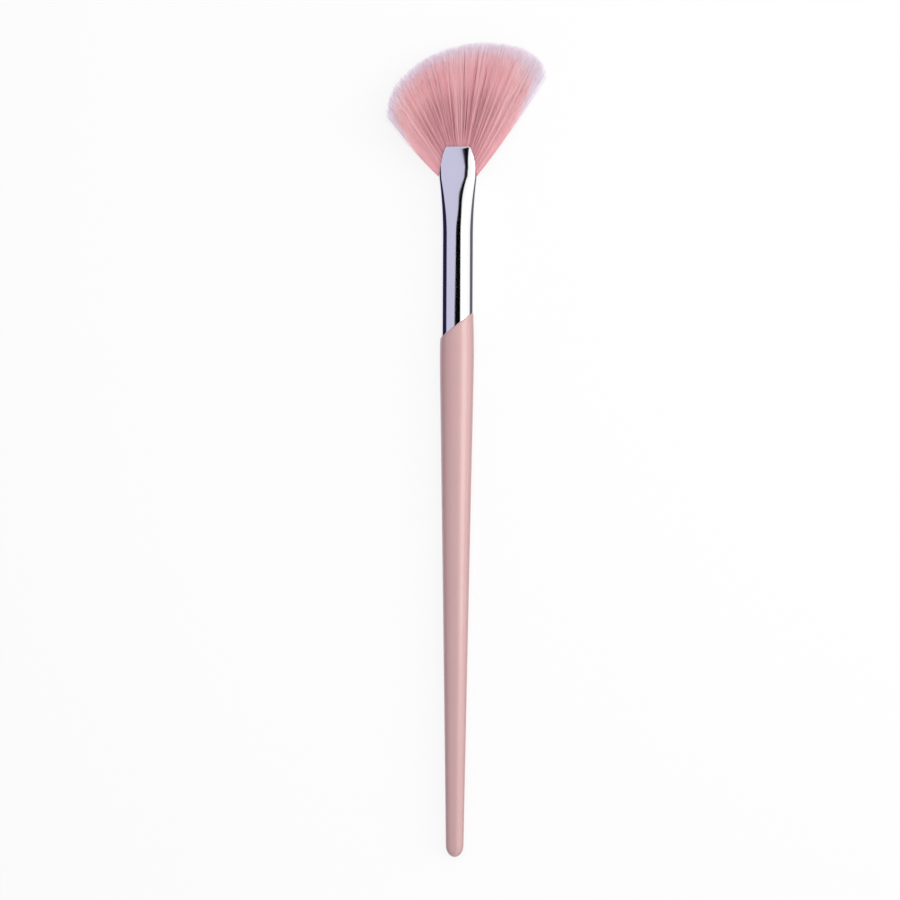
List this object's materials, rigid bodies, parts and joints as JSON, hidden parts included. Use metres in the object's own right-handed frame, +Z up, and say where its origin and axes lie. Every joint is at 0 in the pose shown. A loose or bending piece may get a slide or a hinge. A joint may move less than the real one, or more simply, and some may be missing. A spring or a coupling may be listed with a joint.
{
  "type": "fan makeup brush",
  "caption": "Slim makeup brush with a tapered lacquered handle, a metal ferrule pressed flat at its mouth, and a thin fan of soft hair.",
  "frame": {"origin": "middle of the brush's box, on the surface that it lies on", "axes": "+Y along the brush from its tail to its hair, +Z up, +X towards the fan's longer corner, which is the one that rests on the surface"},
  "size_m": [0.033, 0.1784, 0.0088],
  "materials": {
    "handle_lacquer": "gloss",
    "ferrule_metal": "polished",
    "fan_hair": "satin",
    "root_resin": "gloss",
    "binding_thread": "matte"
  },
  "bodies": {
    "root": {"handle": "handle_lacquer", "ferrule": "ferrule_metal", "hair": "fan_hair", "root_plug": "root_resin", "root_binding": "binding_thread"}
  },
  "joints": []
}
